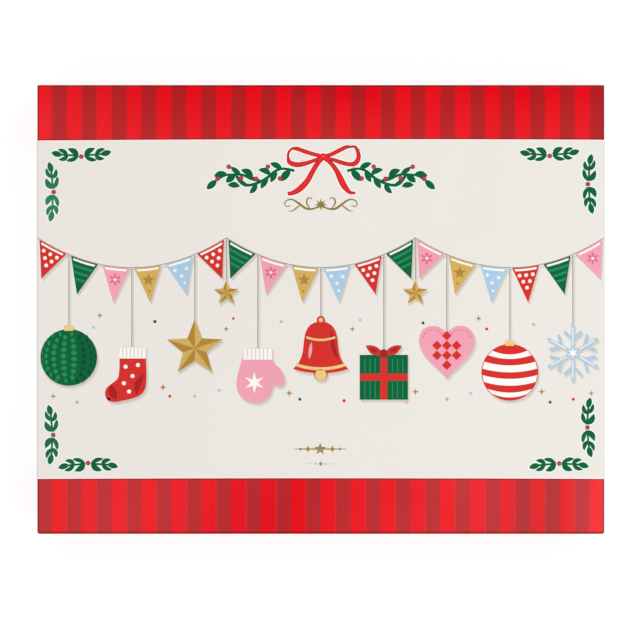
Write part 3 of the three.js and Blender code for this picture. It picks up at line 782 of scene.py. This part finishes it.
def underPrint(name, nodeNames, ink, thickness, reach=0.0, shift=(0.0, 0.0)):
    deselectAll()
    for nodeName in nodeNames:
        piece = bpy.data.objects.new(name, frame["nodes"][nodeName].data.copy())
        scene.collection.objects.link(piece)
        piece.select_set(True)
    bpy.context.view_layer.objects.active = piece
    if len(nodeNames) > 1:
        bpy.ops.object.join()
    piece.name = name
    piece.data.name = name
    startEdit(piece, "FACE")
    mergeAll()
    if reach:
        bpy.ops.transform.shrink_fatten(value=reach)
    pick(piece, "faces", lambda face: face.normal.z < underLook["topFacing"])
    bpy.ops.mesh.delete(type="FACE")
    selectAll()
    bpy.ops.transform.resize(value=(1, 1, 0))
    bpy.ops.transform.translate(value=(shift[0], shift[1], 0))
    for side in (-1, 1):
        selectAll()
        edge = side * (sleeveHigh.x - sleeveLook["foldRadius"])
        bpy.ops.mesh.bisect(plane_co=(edge, 0, 0), plane_no=(side, 0, 0), clear_outer=True)
    bpy.ops.object.mode_set(mode="OBJECT")
    for vertex in piece.data.vertices:
        vertex.co.z = sleeveHigh.z + thickness
    solid = piece.modifiers.new("inkThickness", "SOLIDIFY")
    solid.thickness = thickness
    solid.offset = -1
    applyAll(piece)
    startEdit(piece, "FACE")
    selectAll()
    bpy.ops.mesh.intersect_boolean(operation="UNION", use_self=True, solver="EXACT")
    bpy.ops.object.mode_set(mode="OBJECT")
    finishPrint(piece, ink)


def printUnderneath():
    pictureSlots = ("thread_ink", "red_ink", "green_ink", "pink_ink", "tan_ink", "blue_ink")
    picture = [name for slotName in pictureSlots for name in printed[slotName]]
    look = underLook
    swags = [name for name in printed["leaf_ink"] if name.startswith("leafy")]
    sprigs = [name for name in printed["leaf_ink"] if name not in swags]
    bow = printed["ribbon_ink"]
    underPrint("sprigRims", sprigs, "leafRimInk", look["rimTop"], look["sprigRim"])
    underPrint("swagRims", swags, "leafRimInk", look["rimTop"], look["swagRim"])
    underPrint("bowRim", bow, "ribbonRimInk", look["rimTop"], look["ribbonRim"])
    underPrint("leafFringe", swags + sprigs, "leafFringeInk", look["fringeTop"], look["fringe"])
    underPrint("bowFringe", bow, "bowFringeInk", look["fringeTop"], look["ribbonFringe"])
    underPrint("pictureShadow", picture, "shadowInk", look["shadowTop"], 0.0, look["shadowShift"])
    soft = (look["softReach"], look["softShift"])
    underPrint("pictureSoftShadow", picture, "softShadowInk", look["softTop"], *soft)


printUnderneath()
print("first layer of print is in")

# Outlines for the second layer, in millimetres on the sleeve's front


def discOutline(x, y, radius, steps=28):
    turn = 2 * math.pi / steps
    return [(x + radius * math.cos(i * turn), y + radius * math.sin(i * turn)) for i in range(steps)]


def starOutline(x, y, points, outer, inner):
    corners = []
    for i in range(2 * points):
        angle = math.radians(90 + 180 * i / points)
        radius = inner if i % 2 else outer
        corners.append((x + radius * math.cos(angle), y + radius * math.sin(angle)))
    return corners


def bezier(first, second, third, fourth, steps):
    line = []
    for i in range(steps):
        t = i / steps
        weights = ((1 - t) ** 3, 3 * t * (1 - t) ** 2, 3 * t * t * (1 - t), t ** 3)
        places = zip(first, second, third, fourth)
        line.append(tuple(sum(w * p for w, p in zip(weights, axis)) for axis in places))
    return line


def leafOutline(x0, y0, x1, y1, left, right, steps=8):
    dx, dy = x1 - x0, y1 - y0
    length = math.hypot(dx, dy)

    def control(along, bulge):
        out = bulge / 0.75  # the curve reaches three quarters of the way to these points
        return (x0 + dx * along - dy / length * out, y0 + dy * along + dx / length * out)

    there = bezier((x0, y0), control(0.3, -right), control(0.7, -right), (x1, y1), steps)
    back = bezier((x1, y1), control(0.7, left), control(0.3, left), (x0, y0), steps)
    return there + back


def strokeOutline(points, width):
    left, right = [], []
    for i, (x, y) in enumerate(points):
        before = points[max(i - 1, 0)]
        after = points[min(i + 1, len(points) - 1)]
        dx, dy = after[0] - before[0], after[1] - before[1]
        length = math.hypot(dx, dy)
        sx, sy = -dy / length * width / 2, dx / length * width / 2
        left.append((x + sx, y + sy))
        right.append((x - sx, y - sy))
    return left + right[::-1]


def archPoints(halfWidth, y, rise, steps=12):
    shares = [-1 + 2 * i / steps for i in range(steps + 1)]
    return [(share * halfWidth, y - rise * (1 - share * share)) for share in shares]


def rectangle(x0, y0, x1, y1):
    return [(x0, y0), (x1, y0), (x1, y1), (x0, y1)]


def moved(outline, x, y, degrees=0, size=1):
    cos, sin = size * math.cos(math.radians(degrees)), size * math.sin(math.radians(degrees))
    return [(x + px * cos - py * sin, y + px * sin + py * cos) for px, py in outline]


def mirrored(outline):
    return [(-x, y) for x, y in outline]


layerDepth = 0.05 * mm


def drawPrint(name, outlines, ink, level=0):
    # level 0 lies on the card, and each level above it on the print below
    low = sleeveHigh.z if level == 0 else printHigh + (level - 1) * layerDepth
    depth = printHigh - sleeveHigh.z if level == 0 else layerDepth
    deselectAll()
    bpy.ops.curve.primitive_bezier_curve_add(location=(0, 0, low + depth / 2))
    drawing = bpy.context.object
    drawing.name = name
    drawing.data.dimensions = "2D"
    drawing.data.fill_mode = "BOTH"
    drawing.data.extrude = depth / 2
    drawing.data.splines.clear()
    for outline in outlines:
        spline = drawing.data.splines.new("POLY")
        spline.points.add(len(outline) - 1)
        for point, (x, y) in zip(spline.points, outline):
            point.co = (x * mm, y * mm, 0, 1)
        spline.use_cyclic_u = True
    bpy.ops.object.convert(target="MESH")
    piece = bpy.context.object
    piece.data.name = name
    applyAll(piece)
    startEdit(piece, "VERT")
    mergeAll(2 * mergeReach)
    bpy.ops.mesh.normals_make_consistent(inside=False)
    bpy.ops.object.mode_set(mode="OBJECT")
    finishPrint(piece, ink)


# Berries, loose leaves, the bow's knot and the small grey rule

ornaments = {
    "sprigBerries": [
        (-160.2, 102.3), (-178.7, 78.6), (153.2, 102.8), (178.7, 83.9),
        (-179, -83.9), (-155.7, -102.7), (178.4, -78.9), (159.6, -103),
    ],
    "swagEnd": (17.8, 92.8),
    "swagBerries": [(43.7, 2.7), (51.3, -5.3), (35.6, -4.9), (25.5, -5.3), (17.6, 2.8), (9.5, -5.1)],
    "berry": 1.5,
    "berryRim": 0.45,
    "looseLeaf": (36.3, -10.3, 44.4, -9.4, 2.5, 1.4),
    "knot": (1.8, 102.5),
    "knotRadius": 0.45,
    "greyRuleY": -103.2,
    "greyStar": (1.7, 0.8),
    "greyDots": [(3.4, 0.5), (6.2, 0.32), (8.6, 0.32)],
}


def drawBerries(name, places, level):
    radius = ornaments["berry"]
    drawPrint(name + "Rims", [discOutline(x, y, radius) for x, y in places], "berryRimInk", level)
    inner = radius - ornaments["berryRim"]
    drawPrint(name, [discOutline(x, y, inner, 20) for x, y in places], "berryInk", level + 1)


def drawOrnaments():
    drawBerries("sprigBerries", ornaments["sprigBerries"], 0)
    endX, endY = ornaments["swagEnd"]
    places = [(side * (endX + x), endY + y) for x, y in ornaments["swagBerries"] for side in (-1, 1)]
    drawBerries("swagBerries", places, 1)
    x0, y0, x1, y1, left, right = ornaments["looseLeaf"]
    loose = leafOutline(endX + x0, endY + y0, endX + x1, endY + y1, left, right)
    drawPrint("looseLeaves", [loose, mirrored(loose)], "leaf_ink")
    drawPrint("knotDot", [discOutline(*ornaments["knot"], ornaments["knotRadius"], 16)], "knotInk", 1)
    y = ornaments["greyRuleY"]
    marks = [starOutline(0, y, 4, *ornaments["greyStar"])]
    for x, radius in ornaments["greyDots"]:
        marks += [discOutline(x, y, radius, 12), discOutline(-x, y, radius, 12)]
    drawPrint("greyRule", marks, "greyInk")


drawOrnaments()
print("ornaments are printed")

# The hung garland: second layer on each pennant and each hung thing

garland = {
    "anchorX": (sleeveHigh.x - 0.5 * mm) / mm,  # the thread runs to the folds
    "swags": 3,
    "anchorY": 48,
    "sag": 20,
    "pennantsPerSwag": 6,
    "halfWidth": 9,
    "drop": 24,
    "swing": 0.7,
    "motifSize": 1.15,
}
swagSpan = 2 * garland["anchorX"] / garland["swags"]
pennantPitch = swagSpan / garland["pennantsPerSwag"]
hung = {  # places along the thread, counted in pennants, and the heights of the middles
    "greenBall": (1, -32),
    "stocking": (3, -44),
    "star": (5, -26),
    "smallStarLeft": (6, 11),
    "mitten": (7, -45),
    "bell": (9, -27),
    "parcel": (11, -43),
    "smallStarRight": (12, 11),
    "heart": (13, -28),
    "redBall": (15, -42),
    "snowflake": (17, -29),
}
confetti = [  # x, y and size of the small stars between the hung things
    (-147.8, -4, 2.1), (-105.6, -52, 2.4), (-63.3, -13, 2), (-21.1, -56, 2.4), (21.1, -13, 2),
    (63.3, -55, 2.4), (105.6, -6, 2.1), (147.8, -55, 2.4), (-179, -58, 2), (181, -56, 2),
]
confettiDots = [  # x, y, radius and whose colour
    (-142, -60, 1.1, "pink_ink"), (-152, -12, 1, "blue_ink"), (-101, -58, 1, "red_ink"),
    (-111, -8, 1.1, "green_ink"), (-58.5, -6, 0.9, "red_ink"), (-68, -54, 1.1, "blue_ink"),
    (-26.5, -8, 1.1, "pink_ink"), (-14, -60, 1, "green_ink"), (26.4, -7, 1, "blue_ink"),
    (15.6, -61, 1.1, "red_ink"), (68.4, -9, 1, "green_ink"), (57.4, -62, 1, "pink_ink"),
    (100.4, -56, 1.1, "blue_ink"), (111, -13, 1, "red_ink"), (153.4, -62, 1, "green_ink"),
    (142.4, -10, 1.1, "pink_ink"), (-84.4, -58, 1, "pink_ink"), (84.4, -60, 1.1, "tan_ink"),
    (168.9, -60, 1, "red_ink"), (-163, -62, 1, "tan_ink"),
]


def threadY(x):
    along = ((x + garland["anchorX"]) / swagSpan) % 1
    return garland["anchorY"] - 4 * garland["sag"] * along * (1 - along)


def hang(name, outline, degrees=0):
    place, y = hung[name]
    return moved(outline, place * pennantPitch - garland["anchorX"], y, degrees, garland["motifSize"])


def drawHung(name, thing, outlines, ink, level=1):
    drawPrint(name, [hang(thing, outline) for outline in outlines], ink, level)


def pennantPoint(middleX, across, down):
    # across and down are measured on the pennant, from the middle of its hung edge
    drop = garland["drop"]
    slope = (threadY(middleX + 1) - threadY(middleX - 1)) / 2
    length = math.hypot(1, slope)
    share = down / drop
    edgeX = middleX + across / (1 - share)
    tipX = middleX + garland["swing"] * drop * slope / length
    tipY = threadY(middleX) - drop / length
    return edgeX + (tipX - edgeX) * share, threadY(edgeX) + (tipY - threadY(edgeX)) * share


def pennantBand(middleX, top, bottom, margin=0.7):
    drop = garland["drop"]
    corners = []
    for down, sign in ((top, -1), (top, 0), (top, 1), (bottom, 1), (bottom, 0), (bottom, -1)):
        reach = garland["halfWidth"] * (1 - down / drop) - margin
        corners.append(pennantPoint(middleX, sign * reach, down))
    return corners


pennantLook = {  # places lie across and down a pennant, from the middle of its hung edge
    "hem": (1.2, 2.6, 1.1),  # top, foot and margin
    "dots": [(-4.4, 5.6), (0, 5.6), (4.4, 5.6), (-2.2, 9.8), (2.2, 9.8), (0, 14)],
    "dot": 1.25,
    "bandTops": (4.8, 9, 13.2),
    "band": 1.8,
    "flower": (0, 8.6),
    "petal": (0, 0.9, 0, 4.2, 0.9, 0.9, 5),
    "flowerEye": 0.8,
    "star": (0, 8.8),
    "starRadii": (4.4, 1.9),
    "lowDot": (0, 16.4),
    "lowDotRadius": 0.8,
    "sparkles": [(-4, 6, 1.9), (3.6, 7, 1.9), (-0.6, 11, 1.9), (0.4, 16, 1.5)],
    "sparkleWaist": 0.35,
}


def drawPennants():
    look = pennantLook
    marks = {}

    def mark(ink, outline):
        marks.setdefault(ink, []).append(outline)

    for i in range(garland["swags"] * garland["pennantsPerSwag"]):
        x = (i + 0.5) * pennantPitch - garland["anchorX"]
        mark("whiteInk", pennantBand(x, *look["hem"]))
        kind = i % 5
        if kind == 0:
            for place in look["dots"]:
                mark("whiteInk", discOutline(*pennantPoint(x, *place), look["dot"], 18))
        elif kind == 1:
            for top in look["bandTops"]:
                mark("lightGreenInk", pennantBand(x, top, top + look["band"]))
        elif kind == 2:
            middle = pennantPoint(x, *look["flower"])
            for turn in range(6):
                mark("deepPinkInk", moved(leafOutline(*look["petal"]), *middle, 60 * turn))
            mark("whiteInk", discOutline(*middle, look["flowerEye"], 14))
        elif kind == 3:
            mark("darkGoldInk", starOutline(*pennantPoint(x, *look["star"]), 5, *look["starRadii"]))
            lowDot = pennantPoint(x, *look["lowDot"])
            mark("darkGoldInk", discOutline(*lowDot, look["lowDotRadius"], 12))
        else:
            for across, down, size in look["sparkles"]:
                place = pennantPoint(x, across, down)
                mark("whiteInk", starOutline(*place, 6, size, size * look["sparkleWaist"]))
    for ink, outlines in marks.items():
        drawPrint("pennantMarks_" + ink, outlines, ink, 1)


starRadii = {"star": (17, 7.2), "smallStarLeft": (7.5, 3.3), "smallStarRight": (7.5, 3.3)}
confettiWaist = 0.32


def drawStars():
    folds = []
    for name, radii in starRadii.items():
        corners = starOutline(0, 0, 5, *radii)
        folds += [hang(name, [(0, 0), corners[i], corners[i + 1]]) for i in range(0, 10, 2)]
    drawPrint("starFolds", folds, "darkGoldInk", 1)
    sparkles = [starOutline(x, y, 4, size, size * confettiWaist) for x, y, size in confetti]
    drawPrint("starConfetti", sparkles, "darkGoldInk")
    dots = {}
    for x, y, radius, ink in confettiDots:
        dots.setdefault(ink, []).append(discOutline(x, y, radius, 16))
    for ink, outlines in dots.items():
        drawPrint("dotConfetti_" + ink, outlines, ink)


honeycomb = {
    "radius": 16.2,
    "columns": 8,
    "rows": 9,
    "brightColumns": 5,
    "firstRows": (0.25, 0.75),  # of a row, in even and in odd columns
    "highest": 0.93,
    "cellHeight": 0.86,
    "cellWidth": 0.6,
}


def drawGreenBall():
    look = honeycomb
    light, dark = [], []
    for column in range(look["columns"]):
        west = -math.pi / 2 + math.pi * column / look["columns"]
        east = west + math.pi / look["columns"]
        for row in range(look["rows"]):
            level = -1 + 2 * (row + look["firstRows"][column % 2]) / look["rows"]
            if abs(level) > look["highest"]:
                continue
            reach = look["radius"] * math.sqrt(1 - level * level)
            x = reach * (math.sin(west) + math.sin(east)) / 2
            y = look["radius"] * level
            bulge = reach * (math.sin(east) - math.sin(west)) / 2 * look["cellWidth"]
            height = look["radius"] / look["rows"] * look["cellHeight"]
            cell = leafOutline(x, y - height, x, y + height, bulge, bulge, 5)
            (light if column < look["brightColumns"] else dark).append(cell)
    drawHung("greenBallCells", "greenBall", light, "lightGreenInk")
    drawHung("greenBallFarCells", "greenBall", dark, "deepGreenInk")


redBallLook = {
    "radius": 16.3,
    "bands": [(-12.4, -9.6), (-5.6, -1.6), (2.2, 6.2), (10, 12.6)],  # lower and upper edges
    "sag": 2.2,
    "inset": 0.985,
    "cap": (-2.6, 15.4, 2.6, 18.6),
}


def drawRedBall():
    look = redBallLook

    def bandEdge(y):
        reach = look["inset"] * math.sqrt(look["radius"] ** 2 - y ** 2)
        return archPoints(reach, y, look["sag"])

    bands = [bandEdge(low) + bandEdge(high)[::-1] for low, high in look["bands"]]
    drawHung("redBallBands", "redBall", bands, "whiteInk")
    cap = rectangle(*look["cap"])
    drawPrint("ballCaps", [hang(name, cap) for name in ("greenBall", "redBall")], "lightGoldInk", 1)


clothesLook = {
    "stockingCuff": [(-7.4, 9.8), (8.2, 9.8), (8, 16.4), (-7, 16.4)],
    "stockingDots": [(-3.6, 5), (3.6, 6), (0.4, -0.4), (-4.6, -4.6), (-1.6, -9.4)],
    "dot": 1.2,
    "heel": (7.4, 0.6, 2.8, -11.6, 0.2, 3.4),
    "toe": (-12.2, -5.4, -8.8, -14, 1.6, 3),
    "mittenCuff": [(-8.6, 10), (8.4, 10), (8, 16.4), (-8, 16.4)],
    "mittenStar": (-2, -3.4, 6, 6.4, 2.2),
    "ribbed": {"stocking": (-7.4, 8), "mitten": (-8.2, 8)},  # from one side to the other
    "ribSpaces": 7,
    "rib": (0.2, 10.4, 16.2),  # half width, foot and top
}


def drawClothes():
    look = clothesLook
    white = [hang("stocking", look["stockingCuff"])]
    white += [hang("stocking", discOutline(x, y, look["dot"], 16)) for x, y in look["stockingDots"]]
    white += [hang("mitten", look["mittenCuff"]), hang("mitten", starOutline(*look["mittenStar"]))]
    patches = [hang("stocking", leafOutline(*look[part])) for part in ("heel", "toe")]
    half, foot, top = look["rib"]
    ribs = []
    for name, (left, right) in look["ribbed"].items():
        for i in range(1, look["ribSpaces"]):
            x = left + (right - left) * i / look["ribSpaces"]
            ribs.append(hang(name, rectangle(x - half, foot, x + half, top)))
    drawPrint("cuffsAndDots", white, "whiteInk", 1)
    drawPrint("stockingPatches", patches, "deepRedInk", 1)
    drawPrint("cuffRibs", ribs, "shadowInk", 2)


bellLook = {
    "clapper": (0, -14.6, 3.3, 24),
    "ring": (0, 17.4, 1.3, 16),
    "bands": [(14.2, -8.6, 2.4, 1.8), (8.4, 7.4, 1.6, 1.3)],  # half width, height, sag and thickness
    "shine": (-5.4, 4.6, -6.8, -5.4, 1, 1),
    "shade": (6.2, 11, 10, -5.8, 0.2, 2.2),
}


def drawBell():
    look = bellLook
    gold = [discOutline(*look[part]) for part in ("clapper", "ring")]
    gold += [strokeOutline(archPoints(*arch), thickness) for *arch, thickness in look["bands"]]
    drawHung("bellGold", "bell", gold, "lightGoldInk", 2)
    drawHung("bellShine", "bell", [leafOutline(*look["shine"])], "pink_ink")
    drawHung("bellShade", "bell", [leafOutline(*look["shade"])], "deepRedInk")


parcelLook = {
    "upright": (2.1, -15, 9.4),  # half width, foot and top
    "level": (14, -4, 0.2),
    "loop": (0.6, 11, 10.4, 16.2, 2.3, 2.3, 10),
    "eye": (3.4, 12.4, 8.6, 15.2, 1, 1, 8),
    "knot": (0, 11.8, 2.2),
    "lineX": (-11, -8, -5, 5, 8, 11),
    "lineEnds": [(-14.4, -4.6), (0.8, 8.8)],
    "line": 0.35,  # half width
}


def drawParcel():
    look = parcelLook
    wide, foot, top = look["upright"]
    side, low, high = look["level"]
    cross = [(-wide, foot), (wide, foot), (wide, low), (side, low), (side, high), (wide, high)]
    cross += [(wide, top), (-wide, top), (-wide, high), (-side, high), (-side, low), (-wide, low)]
    loop, eye = leafOutline(*look["loop"]), leafOutline(*look["eye"])
    lines = []
    for start, end in look["lineEnds"]:
        lines += [rectangle(x - look["line"], start, x + look["line"], end) for x in look["lineX"]]
    drawHung("parcelRibbon", "parcel", [cross], "red_ink")
    drawHung("parcelBow", "parcel", [loop, mirrored(loop)], "red_ink", 2)
    drawHung("parcelBowEyes", "parcel", [eye, mirrored(eye)], "deepRedInk", 3)
    drawHung("parcelKnot", "parcel", [discOutline(*look["knot"])], "deepRedInk", 3)
    drawHung("parcelLines", "parcel", lines, "lightGreenInk")


heartLook = {
    "step": 4.2,
    "rows": 4,
    "checkSize": 0.96,
    "lift": 0.6,
    "lobe": (7.9, 6.6),
    "stitchReach": 6.2,
    "stitch": 0.5,
    "clearMiddle": 3,
}


def drawHeart():
    look = heartLook
    step, half = look["step"], look["rows"] // 2
    checks = []
    for i in range(-half, half):
        for j in range(-half, half):
            if (i + j) % 2 == 0:
                cell = rectangle(i * step, j * step, (i + 1) * step, (j + 1) * step)
                checks.append(moved(cell, 0, look["lift"], 45, look["checkSize"]))
    drawHung("heartChecks", "heart", checks, "red_ink")
    lobeX, lobeY = look["lobe"]
    stitches = []
    for degrees in range(20, 160, 20):
        angle = math.radians(degrees)
        x = lobeX + look["stitchReach"] * math.cos(angle)
        y = lobeY + look["stitchReach"] * math.sin(angle)
        if x > look["clearMiddle"]:
            stitches += [discOutline(side * x, y, look["stitch"], 10) for side in (-1, 1)]
    drawHung("heartStitches", "heart", stitches, "deepPinkInk")


snowflakeLook = {"middle": (3.4, 1.2), "line": (4.4, -0.3, 14.8, 0.3)}


def drawSnowflake():
    look = snowflakeLook
    white = [starOutline(0, 0, 6, *look["middle"])]
    white += [moved(rectangle(*look["line"]), 0, 0, degrees) for degrees in range(30, 390, 60)]
    drawHung("snowflakeLines", "snowflake", white, "whiteInk")


drawPennants()
drawStars()
drawGreenBall()
drawRedBall()
drawClothes()
drawBell()
drawParcel()
drawHeart()
drawSnowflake()
print("garland is printed")
